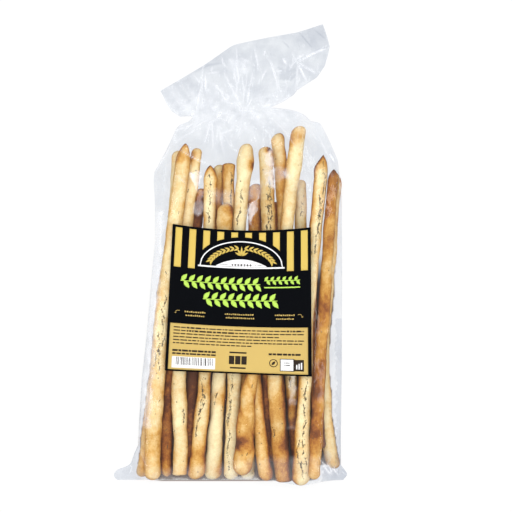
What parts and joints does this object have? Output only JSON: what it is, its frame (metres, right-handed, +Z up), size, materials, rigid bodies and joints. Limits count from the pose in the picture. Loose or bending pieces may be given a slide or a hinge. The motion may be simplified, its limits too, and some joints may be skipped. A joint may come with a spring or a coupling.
{
  "type": "bag of grissini breadsticks",
  "caption": "Sealed clear bag of hand-stretched grissini breadsticks with herb flecks, lying on its back, gathered at the mouth, with a paper label across its front",
  "frame": {"origin": "bottom centre of the box around the pack, on the surface that it lies on", "axes": "+Z up out of the front with the label, +Y from the foot to the gathered mouth, +X across to the right of the front"},
  "size_m": [0.1727, 0.3424, 0.0368],
  "materials": {
    "film": "clear crisp film, slightly grey in its folds, over golden-brown breadsticks",
    "label_paper": "satin printed paper, black with gold and lime fields"
  },
  "bodies": {
    "root": {"bag": "film", "label": "label_paper"}
  },
  "joints": []
}
